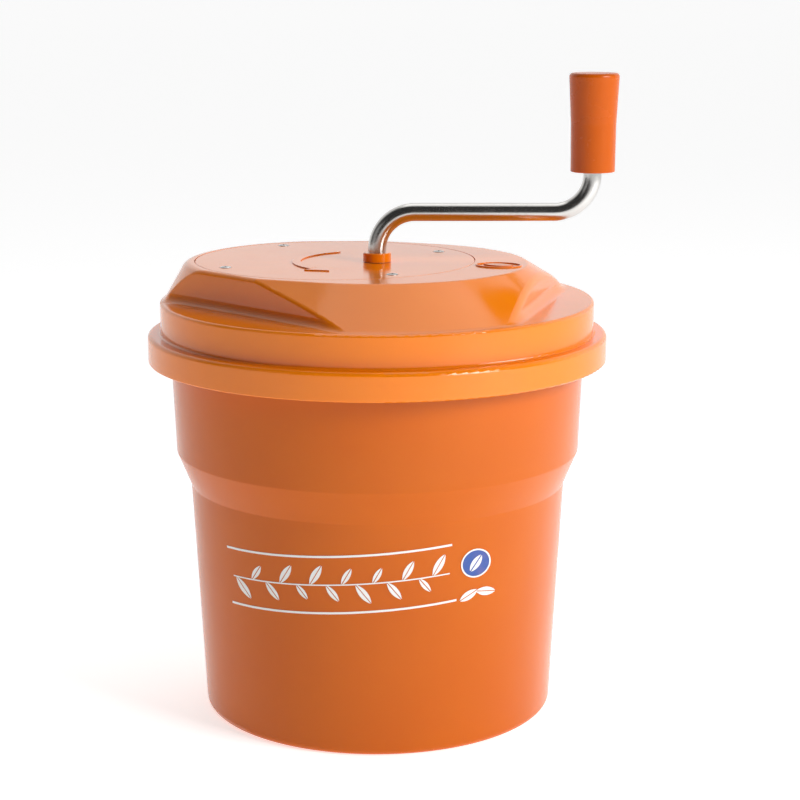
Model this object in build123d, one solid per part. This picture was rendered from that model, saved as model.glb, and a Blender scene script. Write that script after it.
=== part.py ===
"""Hand-cranked salad spinner, ten litre class: bucket, slotted basket, geared lid and crank.

The frame stands on the bucket's foot ring: +Z up, origin at the centre of the base,
and the crank arm points along +X at rest. All sizes are in millimetres.
"""

from build123d import *
from math import acos, cos, degrees, pi, radians, sin, tan
import os

# ---------------------------------------------------------------- bucket
BASE_R = 127.3
WAIST_R, WAIST_Z = 136.1, 167.4
SHOULDER_R, SHOULDER_Z = 146.0, 191.5
MOUTH_R = 149.0
RIM_R, RIM_TOP_Z = 160.0, 270.0
BUCKET_WALL = 2.8
FLOOR_LOW_Z, FLOOR_TOP_Z = 3.0, 6.5
FOOT_RING_INNER_R = 116.5
BOSS_FOOT_R, BOSS_TOP_R, BOSS_TOP_Z = 30.0, 13.0, 27.0
BASE_RIBS = 8

# ---------------------------------------------------------------- pivot under the basket
PIN_R, PIN_LOW_Z, PIN_TOP_Z = 4.0, 14.0, 46.0
PIN_COLLAR_R = 7.5
RUNNING = 0.05
CAP_FLANGE_R, CAP_FLANGE_TOP_Z = 17.0, 32.2
CAP_FLATS = 22.0
CAP_TOP_Z = 50.0
HEX_PLAY = 0.6

# ---------------------------------------------------------------- basket and its cover
BASKET_FLOOR_Z = 34.0
BASKET_R, BASKET_TOP_R = 114.0, 126.0
BASKET_WALL = 2.5
BASKET_RIM_R, BASKET_RIM_Z, BASKET_TOP_Z = 137.0, 238.0, 241.0
HUB_FOOT_R, HUB_TOP_R, HUB_TOP_Z = 36.0, 17.0, 58.0
WALL_SLOTS = 36
WALL_SLOT_W = 3.8
WALL_TIERS = [(50.0, 104.0), (114.0, 162.0), (172.0, 220.0)]
FLOOR_SLOTS = 24
COVER_R = 140.5
COVER_SLOTS = 24
SOCKET_FLATS = 20.6
SOCKET_FLOOR_Z, SOCKET_TOP_Z = 257.0, 271.0

# ---------------------------------------------------------------- lid
LID_AXIS = 158.5
SKIRT_R, SKIRT_LOW_Z, SKIRT_TOP_Z = 165.0, 257.0, 277.0
BAND_R, BAND_TOP_Z, BAND_EDGE_R = 155.7, 300.0, 2.0
DECK_Z, DECK_R = 326.0, 108.0
LID_WALL = 3.0
SCOOP_DEPTH, SCOOP_DRAFT, SCOOP_FOOT_R = 119.5, 3.0, 7.0
SCOOP_AZIMUTHS = [LID_AXIS + 66.5, LID_AXIS - 66.5, LID_AXIS + 186.5]
CROWN_EDGE_R, TOWER_EDGE_R, FRONT_CREST_R = 3.0, 7.0, 7.0
CROWN_FOOT_INSET, CROWN_FOOT_SINK = 1.5, 2.0
SPIGOT_R, SPIGOT_WALL, SPIGOT_LOW_Z = 144.8, 2.8, 259.0
LID_RIBS = 12

# ---------------------------------------------------------------- gear case in the lid
MODULE, PRESSURE_ANGLE, BACKLASH = 2.25, 20.0, 0.3
BIG_TEETH, SMALL_TEETH = 36, 18
CENTRES = MODULE * (BIG_TEETH + SMALL_TEETH) / 2
FACE_WIDTH = 9.0
LOW_GEAR_Z, HIGH_GEAR_Z = 290.0, 302.5
CASE_OFFSET = 32.8
CASE_R, CASE_FLOOR_LOW_Z, CASE_FLOOR_Z = 78.0, 285.0, 288.0
GEAR_COVER_R, GEAR_COVER_LOW_Z = 101.2, 322.0
COVER_SEAM = 0.3
GASKET_IN_R, GASKET_OUT_R, GASKET_DEPTH = 92.0, 97.0, 1.6
SCREW_CIRCLE_R, SCREW_R, SCREW_HEAD_R, SCREW_SEAT = 86.5, 2.0, 4.0, 1.6
SCREW_HEAD_H, SCREW_LOW_Z = 2.4, 309.0
SCREW_AZIMUTHS = [LID_AXIS + 50.3 + 90 * k for k in range(4)]
HUB_R = 11.0
LAYSHAFT_R, LAYSHAFT_LOW_Z, LAYSHAFT_TOP_Z = 4.0, 282.0, 318.0
LAYSHAFT_CLIP_Z = 313.3
CLUSTER_TOP_Z = 312.9
DRIVER_R, DRIVER_LOW_Z, DRIVER_TOP_Z = 12.0, 258.5, 299.6
DRIVER_CLIP_Z = 273.2
DRIVER_BOSS_R, DRIVER_BOSS_LOW_Z = 20.0, 275.0
DRIVER_BUSH_R, SEAL_TOP_Z = 15.0, 278.0
DOG_FLATS = 20.0
CLIP_THICK = 1.2

# ---------------------------------------------------------------- crank and grip
ROD_R, ROD_LOW_Z = 6.5, 300.4
CRANK_RADIUS, ARM_Z, BEND_R = 153.5, 361.7, 27.0
CRANK_HUB_TOP_Z = 316.0
CROSS_PIN_R, CROSS_PIN_Z = 1.5, 313.9
CRANK_BUSH_R, CRANK_BOSS_R, CRANK_BOSS_LOW_Z = 9.0, 13.0, 317.0
COLLAR_R, COLLAR_LOW_Z, COLLAR_TOP_Z = 10.0, 326.4, 332.8
GRIP_LOW_Z, GRIP_TOP_Z = 390.5, 460.0
GRIP_LOW_R, GRIP_TOP_R = 15.8, 17.9
GRIP_BUSH_R, GRIP_BUSH_TOP_Z = 9.0, 445.5
ROD_END_Z = 446.0
GRIP_WELL_R, GRIP_CAP_R, GRIP_CAP_LOW_Z = 10.5, 12.5, 455.5


def polar(radius, azimuth, z=0.0):
    """Point at a radius and an azimuth in degrees about the bucket's axis."""
    return (radius * cos(radians(azimuth)), radius * sin(radians(azimuth)), z)


CASE_X, CASE_Y, _ = polar(CASE_OFFSET, LID_AXIS)
LAY_X, LAY_Y, _ = polar(CENTRES, LID_AXIS)
SCREW_OFFSETS = [polar(SCREW_CIRCLE_R, azimuth) for azimuth in SCREW_AZIMUTHS]
SCREW_PLACES = [(CASE_X + x, CASE_Y + y) for x, y, _ in SCREW_OFFSETS]


def turned(outline):
    """Solid of revolution about Z. The outline is (radius, height, corner radius) points."""
    face = make_face(Polyline(*[(r, 0, z) for r, z, _ in outline], close=True).edges())
    for r, z, corner in outline:
        if corner:
            nearest = face.vertices().sort_by_distance((r, 0, z))[0]
            face = face.face().fillet_2d(corner, [nearest])
    return revolve(face, Axis.Z)


def cylinder(radius, low, high, x=0.0, y=0.0):
    """Upright cylinder between two heights."""
    return Pos(x, y, (low + high) / 2) * Cylinder(radius, high - low)


def tube(outer, inner, low, high, x=0.0, y=0.0):
    """Upright tube between two heights."""
    return cylinder(outer, low, high, x, y) - cylinder(inner, low - 1, high + 1, x, y)


def hexagon(flats, low, high):
    """Upright hexagonal prism on the bucket's axis, given its size across flats."""
    side = RegularPolygon(flats / 2, 6, major_radius=False)
    return Pos(0, 0, low) * extrude(side, high - low)


def ring_of(piece, count, start=0.0):
    """Copies of a piece, evenly turned about Z."""
    return [Rot(0, 0, start + 360 * k / count) * piece for k in range(count)]


# ================================================================ bucket
def bucket():
    wall = turned([
        (FOOT_RING_INNER_R, 0, 0.8),
        (BASE_R, 0, 5),
        (WAIST_R, WAIST_Z, 3),
        (SHOULDER_R, SHOULDER_Z, 3),
        (MOUTH_R, RIM_TOP_Z - 3, 2),
        (RIM_R - BUCKET_WALL, RIM_TOP_Z - 3, 0.5),
        (RIM_R - BUCKET_WALL, RIM_TOP_Z - 11, 0.6),
        (RIM_R, RIM_TOP_Z - 11, 0.6),
        (RIM_R, RIM_TOP_Z, 2.2),
        (MOUTH_R - BUCKET_WALL, RIM_TOP_Z, 1.8),
        (SHOULDER_R - BUCKET_WALL, SHOULDER_Z + 1, 3),
        (WAIST_R - BUCKET_WALL, WAIST_Z + 1, 3),
        (BASE_R - BUCKET_WALL, FLOOR_TOP_Z, 4),
        (BOSS_FOOT_R, FLOOR_TOP_Z, 3),
        (BOSS_TOP_R, BOSS_TOP_Z, 1.5),
        (PIN_R, BOSS_TOP_Z, 0),
        (PIN_R, PIN_LOW_Z, 0),
        (0, PIN_LOW_Z, 0),
        (0, PIN_LOW_Z - 3, 0),
        (8.5, PIN_LOW_Z - 3, 1),
        (8.5, BOSS_TOP_Z - 4.5, 0),
        (11.3, BOSS_TOP_Z - 4.5, 0),
        (27.5, FLOOR_LOW_Z, 0),
        (FOOT_RING_INNER_R, FLOOR_LOW_Z, 1),
    ])
    rib_length = FOOT_RING_INNER_R - 27
    rib = Pos(27 + rib_length / 2, 0, FLOOR_LOW_Z - 0.9) * Box(rib_length + 1, 2.2, 2.4)
    return wall + ring_of(rib, BASE_RIBS, 22.5)


def pivot_pin():
    """Steel pin pressed into the bucket's boss, with a collar and a domed tip."""
    return turned([
        (0, PIN_LOW_Z, 0),
        (PIN_R, PIN_LOW_Z, 0),
        (PIN_R, BOSS_TOP_Z, 0),
        (PIN_COLLAR_R, BOSS_TOP_Z, 0.4),
        (PIN_COLLAR_R, BOSS_TOP_Z + 2, 0.4),
        (PIN_R, BOSS_TOP_Z + 2, 0),
        (PIN_R, PIN_TOP_Z, 2.5),
        (0, PIN_TOP_Z, 0),
    ])


def pivot_cap():
    """Hexagonal bearing cap that turns on the pin and carries the basket."""
    low = BOSS_TOP_Z + 2.2
    body = hexagon(CAP_FLATS, CAP_FLANGE_TOP_Z - 0.5, CAP_TOP_Z)
    body = chamfer(body.edges().group_by(Axis.Z)[-1], 1.5)
    flange = cylinder(CAP_FLANGE_R, low, CAP_FLANGE_TOP_Z)
    bore = cylinder(PIN_R + RUNNING, low - 1, PIN_TOP_Z + 0.3)
    return body + flange - bore


# ================================================================ basket
def slot_cutter(width, length, depth):
    """Rounded slot along Z, cutting along X."""
    return extrude(Plane.YZ * Rot(0, 0, 90) * SlotOverall(length, width), depth)


def basket():
    shell = turned([
        (0, CAP_FLANGE_TOP_Z, 0),
        (CAP_FLANGE_R, CAP_FLANGE_TOP_Z, 0.8),
        (CAP_FLANGE_R + 2, BASKET_FLOOR_Z, 0),
        (BASKET_R, BASKET_FLOOR_Z, 7),
        (BASKET_TOP_R, BASKET_RIM_Z, 1),
        (BASKET_RIM_R, BASKET_RIM_Z, 0.8),
        (BASKET_RIM_R, BASKET_TOP_Z, 0.8),
        (BASKET_TOP_R - BASKET_WALL, BASKET_TOP_Z, 0.8),
        (BASKET_R - BASKET_WALL, BASKET_FLOOR_Z + BASKET_WALL, 5),
        (HUB_FOOT_R, BASKET_FLOOR_Z + BASKET_WALL, 6),
        (HUB_TOP_R, HUB_TOP_Z, 4),
        (0, HUB_TOP_Z, 0),
    ])
    shell -= hexagon(CAP_FLATS + HEX_PLAY, CAP_FLANGE_TOP_Z - 1, CAP_TOP_Z + 0.4)
    cutters = []
    for tier, (low, high) in enumerate(WALL_TIERS):
        cut = Pos(BASKET_R - 12, 0, (low + high) / 2) * slot_cutter(WALL_SLOT_W, high - low, 30)
        cutters += ring_of(cut, WALL_SLOTS, 5.0 * (tier % 2))
    inner = Pos(62, 0, BASKET_FLOOR_Z) * extrude(SlotOverall(34, 3.6), 12, both=True)
    outer = Pos(92, 0, BASKET_FLOOR_Z) * extrude(SlotOverall(18, 3.6), 12, both=True)
    cutters += ring_of(inner, FLOOR_SLOTS)
    cutters += ring_of(outer, FLOOR_SLOTS, 7.5)
    return shell - cutters


def basket_cover():
    """Slotted cover over the basket, with the hexagonal socket that the lid drives."""
    spigot_r = BASKET_TOP_R - BASKET_WALL - 1.2
    shell = turned([
        (0, SOCKET_FLOOR_Z - 4, 0),
        (22, SOCKET_FLOOR_Z - 4, 2),
        (spigot_r - 2.8, BASKET_TOP_Z + 1, 2),
        (spigot_r - 2.8, BASKET_TOP_Z - 7, 0.6),
        (spigot_r, BASKET_TOP_Z - 7, 0.6),
        (spigot_r, BASKET_TOP_Z, 0),
        (BASKET_RIM_R + 0.5, BASKET_TOP_Z, 0),
        (BASKET_RIM_R + 0.5, BASKET_TOP_Z - 4.5, 0.4),
        (COVER_R - 0.6, BASKET_TOP_Z - 4.5, 0.8),
        (COVER_R, BASKET_TOP_Z + 4, 2),
        (34, SOCKET_FLOOR_Z - 0.5, 8),
        (18, SOCKET_TOP_Z, 1.5),
        (0, SOCKET_TOP_Z, 0),
    ])
    socket = hexagon(SOCKET_FLATS, SOCKET_FLOOR_Z, SOCKET_TOP_Z + 1)
    slot = Pos(79, 0, BASKET_TOP_Z + 7) * extrude(SlotOverall(58, 3.8), 15, both=True)
    return shell - [socket, *ring_of(slot, COVER_SLOTS)]


# ================================================================ lid
def deck_outline(radius, z):
    """Stadium round the bucket's axis and the gear case's axis, as four joined edges."""
    start, end = LID_AXIS - 90, LID_AXIS + 90
    case_centre, axis_centre = Vector(CASE_X, CASE_Y, z), Vector(0, 0, z)
    side_a, side_b = Vector(*polar(radius, end)), Vector(*polar(radius, start))
    far, near = Vector(*polar(radius, LID_AXIS)), Vector(*polar(radius, LID_AXIS + 180))
    return Wire([
        Edge.make_three_point_arc(case_centre + side_b, case_centre + far, case_centre + side_a),
        Edge.make_line(case_centre + side_a, axis_centre + side_a),
        Edge.make_three_point_arc(axis_centre + side_a, axis_centre + near, axis_centre + side_b),
        Edge.make_line(axis_centre + side_b, case_centre + side_b),
    ])


def foot_outline(radius, z):
    """Circle split at the same four azimuths as the deck's outline, for an untwisted loft."""
    turns = [LID_AXIS - 84, LID_AXIS + 84, LID_AXIS + 98, LID_AXIS + 262, LID_AXIS + 276]
    return Wire([
        Edge.make_three_point_arc(polar(radius, a, z), polar(radius, (a + b) / 2, z), polar(radius, b, z))
        for a, b in zip(turns, turns[1:])
    ])


def crown(inset, low, high):
    """Raised middle of the lid: the deck's outline flaring down to the band's circle."""
    foot = foot_outline(BAND_R - CROWN_FOOT_INSET - inset, low)
    return Solid.make_loft([foot, deck_outline(DECK_R - inset, high)], ruled=True)


def scoops(inset, low):
    """The three hand recesses, as cutters whose near walls lean back a little."""
    cutters = []
    for azimuth in SCOOP_AZIMUTHS:
        foot = Pos(*polar(SCOOP_DEPTH - inset + 50, azimuth, low)) * Rot(0, 0, azimuth) * Rectangle(100, 400)
        cutters.append(extrude(foot, DECK_Z + 5 - low, taper=-SCOOP_DRAFT))
    return cutters


def is_scoop_foot(edge):
    """Whether an edge is the straight foot of a hand recess's wall."""
    return edge.geom_type == GeomType.LINE and abs(edge.center().Z - BAND_TOP_Z) < 0.01 and edge.length > 60


def is_tower_edge(edge):
    """Whether an edge is the deck's far arc, round the gear case and between two hand recesses."""
    far_x, far_y, _ = polar(1.0, LID_AXIS)
    reach = edge.center().X * far_x + edge.center().Y * far_y
    return abs(edge.center().Z - DECK_Z) < 0.01 and reach > DECK_R


def is_recess_edge(edge, azimuths):
    """Whether an edge lies on the near wall of one of the hand recesses, above its foot."""
    middle = edge @ 0.5
    reaches = [middle.X * cos(radians(a)) + middle.Y * sin(radians(a)) for a in azimuths]
    wall = SCOOP_DEPTH - (middle.Z - BAND_TOP_Z) * tan(radians(SCOOP_DRAFT))
    return middle.Z > BAND_TOP_Z + 1 and any(abs(reach - wall) < 0.05 for reach in reaches)


def is_deck_edge(edge):
    """Whether an edge is on the deck's own outline, at its full radius from the stadium's spine."""
    middle = edge @ 0.5
    far_x, far_y, _ = polar(1.0, LID_AXIS)
    along = min(max(middle.X * far_x + middle.Y * far_y, 0), CASE_OFFSET)
    out = Vector(middle.X - along * far_x, middle.Y - along * far_y, 0).length
    return abs(middle.Z - DECK_Z) < 0.01 and out > DECK_R - 0.5


def rounded_crown():
    """The crown with its recesses cut and its edges rounded, softer on the tower and the front crest."""
    solid = (crown(0, BAND_TOP_Z - CROWN_FOOT_SINK, DECK_Z) - scoops(0, BAND_TOP_Z)).solid()
    sides, front = SCOOP_AZIMUTHS[:2], SCOOP_AZIMUTHS[2:]
    solid = solid.fillet(TOWER_EDGE_R, solid.edges().filter_by(is_tower_edge))
    solid = solid.fillet(FRONT_CREST_R, solid.edges().filter_by(lambda e: is_recess_edge(e, front)))
    sharp = solid.edges().filter_by(lambda e: is_recess_edge(e, sides) or is_deck_edge(e))
    return solid.fillet(CROWN_EDGE_R, sharp)


def lid():
    """The lid's one moulding: crown, band, skirt, spigot, ribs and the gear case's well."""
    outside = rounded_crown()
    skirt = turned([
        (0, BAND_TOP_Z - LID_WALL, 0),
        (BAND_R - LID_WALL, BAND_TOP_Z - LID_WALL, 2),
        (BAND_R - LID_WALL, RIM_TOP_Z, 0.4),
        (BAND_R, RIM_TOP_Z, 0),
        (BAND_R, SKIRT_TOP_Z - LID_WALL, 1),
        (SKIRT_R - LID_WALL, SKIRT_TOP_Z - LID_WALL, 2),
        (SKIRT_R - LID_WALL, SKIRT_LOW_Z, 0.6),
        (SKIRT_R, SKIRT_LOW_Z, 1.2),
        (SKIRT_R, SKIRT_TOP_Z, 3),
        (BAND_R, SKIRT_TOP_Z, 1.2),
        (BAND_R, BAND_TOP_Z, BAND_EDGE_R),
        (0, BAND_TOP_Z, 0),
    ])
    cavity = crown(LID_WALL + 0.4, BAND_TOP_Z - LID_WALL - 0.5, DECK_Z - LID_WALL)
    cavity = cavity - scoops(LID_WALL, BAND_TOP_Z - LID_WALL)
    ribs = ring_of(Pos(75, 0, DECK_Z - 20) * Box(150, 2.4, 60), LID_RIBS, LID_AXIS + 15)
    ribs = [cavity & rib for rib in ribs]
    pocket_r = GEAR_COVER_R + COVER_SEAM
    shell = (outside + skirt).solid()
    shell = shell.fillet(SCOOP_FOOT_R, shell.edges().filter_by(is_scoop_foot))
    body = shell - cavity + ribs
    body += cylinder(pocket_r + 2.6, GEAR_COVER_LOW_Z - 4, DECK_Z - 2, CASE_X, CASE_Y)
    body += cylinder(CASE_R + LID_WALL, CASE_FLOOR_LOW_Z, DECK_Z - 2, CASE_X, CASE_Y)
    body += tube(SPIGOT_R, SPIGOT_R - SPIGOT_WALL, SPIGOT_LOW_Z, BAND_TOP_Z - 1)
    body += cylinder(DRIVER_BOSS_R, DRIVER_BOSS_LOW_Z, CASE_FLOOR_Z)
    body += cylinder(9, LAYSHAFT_LOW_Z - 2, CASE_FLOOR_Z, LAY_X, LAY_Y)
    body += [cylinder(5.5, SCREW_LOW_Z - 3, GEAR_COVER_LOW_Z, x, y) for x, y in SCREW_PLACES]
    body -= cylinder(pocket_r, GEAR_COVER_LOW_Z, DECK_Z + 1, CASE_X, CASE_Y)
    body -= cylinder(CASE_R, CASE_FLOOR_Z, DECK_Z + 1, CASE_X, CASE_Y)
    body += [cylinder(5.5, SCREW_LOW_Z - 3, GEAR_COVER_LOW_Z, x, y) for x, y in SCREW_PLACES]
    body -= [cylinder(SCREW_R, SCREW_LOW_Z, GEAR_COVER_LOW_Z + 1, x, y) for x, y in SCREW_PLACES]
    groove_low = GEAR_COVER_LOW_Z - GASKET_DEPTH
    body -= tube(GASKET_OUT_R, GASKET_IN_R, groove_low, GEAR_COVER_LOW_Z + 1, CASE_X, CASE_Y)
    body -= cylinder(DRIVER_BUSH_R, DRIVER_BOSS_LOW_Z - 1, CASE_FLOOR_Z + 1)
    body -= cylinder(LAYSHAFT_R, LAYSHAFT_LOW_Z, CASE_FLOOR_Z + 1, LAY_X, LAY_Y)
    return body


def cover_gasket():
    """Rubber ring that keeps water out of the gear case."""
    low = GEAR_COVER_LOW_Z - GASKET_DEPTH
    return tube(GASKET_OUT_R, GASKET_IN_R, low, GEAR_COVER_LOW_Z, CASE_X, CASE_Y)


def gear_cover():
    """Round plate let into the deck flush, with bosses under it for the crank and the layshaft."""
    plate = cylinder(GEAR_COVER_R, GEAR_COVER_LOW_Z, DECK_Z, CASE_X, CASE_Y)
    plate = chamfer(plate.edges().group_by(Axis.Z)[-1], 0.6)
    plate += cylinder(CRANK_BOSS_R, CRANK_BOSS_LOW_Z, GEAR_COVER_LOW_Z + 1)
    plate += cylinder(8, LAYSHAFT_TOP_Z - 3, GEAR_COVER_LOW_Z + 1, LAY_X, LAY_Y)
    plate -= cylinder(CRANK_BUSH_R, CRANK_BOSS_LOW_Z - 1, DECK_Z + 1)
    plate -= cylinder(LAYSHAFT_R, LAYSHAFT_TOP_Z - 4, LAYSHAFT_TOP_Z, LAY_X, LAY_Y)
    for x, y in SCREW_PLACES:
        plate -= cylinder(SCREW_R + 0.25, GEAR_COVER_LOW_Z - 1, DECK_Z, x, y)
        plate -= cylinder(SCREW_HEAD_R + 0.3, DECK_Z - SCREW_SEAT, DECK_Z + 1, x, y)
    return plate


def cover_screws():
    """Four domed stainless screws with a cross recess, sunk a little into the cover."""
    screws = []
    seat = DECK_Z - SCREW_SEAT
    for x, y in SCREW_PLACES:
        dome = [(0, 0, 0), (SCREW_HEAD_R, 0, 0), (SCREW_HEAD_R, SCREW_HEAD_H - 0.3, 0.9), (0, SCREW_HEAD_H, 0)]
        head = Pos(x, y, seat) * turned(dome)
        shank = cylinder(SCREW_R, SCREW_LOW_Z, seat + 0.5, x, y)
        recess = Pos(x, y, seat + SCREW_HEAD_H) * (Box(4.4, 1.0, 2.6) + Box(1.0, 4.4, 2.6))
        screws.append((head + shank - recess).solid())
    return Compound(screws)


def crank_bush():
    """Bronze bush in the cover that the crank's rod turns in."""
    return tube(CRANK_BUSH_R, ROD_R + RUNNING, CRANK_BOSS_LOW_Z, DECK_Z)


# ================================================================ gears
def involute(angle):
    """Involute function of an angle in radians."""
    return tan(angle) - angle


def gear(teeth, low, turn=0.0, x=0.0, y=0.0):
    """Involute spur gear with a tooth centred on the turn angle."""
    pitch = MODULE * teeth / 2
    root, tip = pitch - 1.25 * MODULE, pitch + MODULE
    base = pitch * cos(radians(PRESSURE_ANGLE))
    half = pi / (2 * teeth) - BACKLASH / (2 * pitch) + involute(radians(PRESSURE_ANGLE))

    def flank(radius):
        """Half of the tooth's angle at a radius, in degrees."""
        return degrees(half - involute(acos(base / max(radius, base))))

    radii = (root, max(root, base) + 0.001, (base + tip) / 2, tip)
    edges = []
    for tooth in range(teeth):
        middle = turn + 360 * tooth / teeth
        rise = [polar(r, middle - flank(r), low) for r in radii]
        fall = [polar(r, middle + flank(r), low) for r in reversed(radii)]
        following = polar(root, middle + 360 / teeth - flank(root), low)
        edges.append(Edge.make_line(rise[0], rise[1]))
        edges.append(Edge.make_three_point_arc(*rise[1:]))
        edges.append(Edge.make_line(rise[3], fall[0]))
        edges.append(Edge.make_three_point_arc(*fall[:3]))
        edges.append(Edge.make_line(fall[2], fall[3]))
        edges.append(Edge.make_line(fall[3], following))
    return Pos(x, y, 0) * extrude(make_face(edges), FACE_WIDTH)


def crank_gear():
    """Large gear on the crank, in the upper layer."""
    teeth = gear(BIG_TEETH, HIGH_GEAR_Z, LID_AXIS)
    hub = cylinder(HUB_R, ROD_LOW_Z + 0.6, CRANK_HUB_TOP_Z)
    windows = ring_of(cylinder(7.5, HIGH_GEAR_Z - 1, HIGH_GEAR_Z + FACE_WIDTH + 1, 24), 6)
    return teeth - windows + hub - cylinder(ROD_R, ROD_LOW_Z - 1, CRANK_HUB_TOP_Z + 1) - cross_pin()


def cross_pin():
    """Steel pin through the hub of the crank's gear and the rod."""
    return Pos(0, 0, CROSS_PIN_Z) * Rot(0, 90, 0) * Cylinder(CROSS_PIN_R, 2 * HUB_R - 1)


def crank_washer():
    """Thrust washer between the crank's gear and the cover."""
    return tube(HUB_R - 0.5, ROD_R, CRANK_HUB_TOP_Z, CRANK_HUB_TOP_Z + 0.6)


def cluster_gear():
    """Stepped gear on the layshaft: small above, driven by the crank; large below, driving the basket."""
    low = gear(BIG_TEETH, LOW_GEAR_Z, LID_AXIS + 180 + 180 / BIG_TEETH, LAY_X, LAY_Y)
    high = gear(SMALL_TEETH, HIGH_GEAR_Z, LID_AXIS + 180 + 180 / SMALL_TEETH, LAY_X, LAY_Y)
    window = cylinder(6.5, LOW_GEAR_Z - 1, LOW_GEAR_Z + 10, 26)
    windows = [Pos(LAY_X, LAY_Y, 0) * w for w in ring_of(window, 6)]
    hub = cylinder(HUB_R, CASE_FLOOR_Z + 0.8, CLUSTER_TOP_Z, LAY_X, LAY_Y)
    bore = cylinder(LAYSHAFT_R + RUNNING, CASE_FLOOR_Z, CLUSTER_TOP_Z + 1, LAY_X, LAY_Y)
    return low - windows + high + hub - bore


def basket_driver():
    """Pinion, shaft and hexagonal dog in one piece, turning the basket's cover."""
    teeth = gear(SMALL_TEETH, LOW_GEAR_Z, LID_AXIS)
    shaft = cylinder(DRIVER_R, SOCKET_TOP_Z + 1, DRIVER_TOP_Z)
    dog = hexagon(DOG_FLATS, DRIVER_LOW_Z, SOCKET_TOP_Z + 1.5)
    dog = chamfer(dog.edges().group_by(Axis.Z)[0], 1.2)
    return teeth + shaft + dog - driver_circlip_groove()


def driver_circlip_groove():
    """Groove for the ring that keeps the driver up in its bush."""
    return tube(DRIVER_R + 1, DRIVER_R - 1, DRIVER_CLIP_Z, DRIVER_CLIP_Z + CLIP_THICK)


def circlip(inner, outer, low, x=0.0, y=0.0):
    """Open snap ring lying in a shaft's groove."""
    ring = tube(outer, inner, low, low + CLIP_THICK, x, y)
    return ring - Pos(x + outer, y, low + CLIP_THICK / 2) * Box(2 * (outer - inner) + 1, 3, CLIP_THICK + 1)


def driver_circlip():
    return circlip(DRIVER_R - 1, DRIVER_R + 3.5, DRIVER_CLIP_Z)


def driver_bush():
    """Bronze flanged bush in the lid that the driver turns in."""
    flange = tube(DRIVER_BUSH_R + 3, DRIVER_R + RUNNING, CASE_FLOOR_Z, LOW_GEAR_Z - 0.3)
    return flange + tube(DRIVER_BUSH_R, DRIVER_R + RUNNING, SEAL_TOP_Z, CASE_FLOOR_Z)


def driver_seal():
    """Rubber ring under the bush that keeps water out of the gear case."""
    return tube(DRIVER_BUSH_R, DRIVER_R + 2 * RUNNING, DRIVER_BOSS_LOW_Z, SEAL_TOP_Z)


def layshaft():
    shaft = cylinder(LAYSHAFT_R, LAYSHAFT_LOW_Z, LAYSHAFT_TOP_Z, LAY_X, LAY_Y)
    clip_top = LAYSHAFT_CLIP_Z + CLIP_THICK
    groove = tube(LAYSHAFT_R + 1, LAYSHAFT_R - 0.6, LAYSHAFT_CLIP_Z, clip_top, LAY_X, LAY_Y)
    return shaft - groove


def layshaft_washer():
    return tube(HUB_R - 1, LAYSHAFT_R, CASE_FLOOR_Z, CASE_FLOOR_Z + 0.6, LAY_X, LAY_Y)


def layshaft_circlip():
    return circlip(LAYSHAFT_R - 0.6, LAYSHAFT_R + 2.6, LAYSHAFT_CLIP_Z, LAY_X, LAY_Y)


# ================================================================ crank and grip
def crank_rod():
    """Stainless rod bent up, out and up again, drilled for its cross pin and the grip's screw."""
    path = FilletPolyline(
        (0, 0, ROD_LOW_Z),
        (0, 0, ARM_Z),
        (CRANK_RADIUS, 0, ARM_Z),
        (CRANK_RADIUS, 0, ROD_END_Z),
        radius=BEND_R,
    )
    rod = sweep(Pos(0, 0, ROD_LOW_Z) * Circle(ROD_R), path)
    thread = cylinder(2.5, ROD_END_Z - 14, ROD_END_Z + 1, CRANK_RADIUS)
    return rod - thread - cross_pin()


def crank_collar():
    """Plastic collar on the rod where it enters the cover."""
    ring = tube(COLLAR_R, ROD_R, COLLAR_LOW_Z, COLLAR_TOP_Z)
    return chamfer(ring.edges().group_by(Axis.Z)[-1].sort_by(SortBy.LENGTH)[-1], 0.5)


def grip():
    middle = GRIP_LOW_Z + 34
    body = turned([
        (0, GRIP_LOW_Z, 0),
        (GRIP_LOW_R, GRIP_LOW_Z, 0.6),
        (GRIP_LOW_R + 0.3, middle, 40),
        (GRIP_TOP_R, GRIP_TOP_Z, 2.6),
        (0, GRIP_TOP_Z, 0),
    ])
    body -= cylinder(GRIP_BUSH_R, GRIP_LOW_Z - 1, GRIP_BUSH_TOP_Z)
    body -= cylinder(GRIP_WELL_R, GRIP_BUSH_TOP_Z, GRIP_CAP_LOW_Z)
    body -= cylinder(GRIP_CAP_R, GRIP_CAP_LOW_Z, GRIP_TOP_Z + 1)
    return Pos(CRANK_RADIUS, 0, 0) * body


def grip_bush():
    """Nylon sleeve pressed into the grip, running on the rod."""
    return tube(GRIP_BUSH_R, ROD_R + RUNNING, GRIP_LOW_Z + 0.5, GRIP_BUSH_TOP_Z, CRANK_RADIUS)


def grip_cap():
    """Plug that closes the grip's top over the screw."""
    return cylinder(GRIP_CAP_R, GRIP_CAP_LOW_Z, GRIP_TOP_Z, CRANK_RADIUS)


def grip_washer():
    return tube(GRIP_BUSH_R - 0.5, 2.5, ROD_END_Z, ROD_END_Z + 1.2, CRANK_RADIUS)


def grip_screw():
    """Button-head screw that holds the grip on the rod."""
    seat = ROD_END_Z + 1.2
    head = cylinder(4.8, seat, seat + 3.2, CRANK_RADIUS)
    head = fillet(head.edges().group_by(Axis.Z)[-1], 1.2)
    socket = Pos(CRANK_RADIUS, 0, seat + 1.6) * extrude(RegularPolygon(1.5, 6, major_radius=False), 3)
    return head + cylinder(2.5, ROD_END_Z - 13, seat, CRANK_RADIUS) - socket


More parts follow.
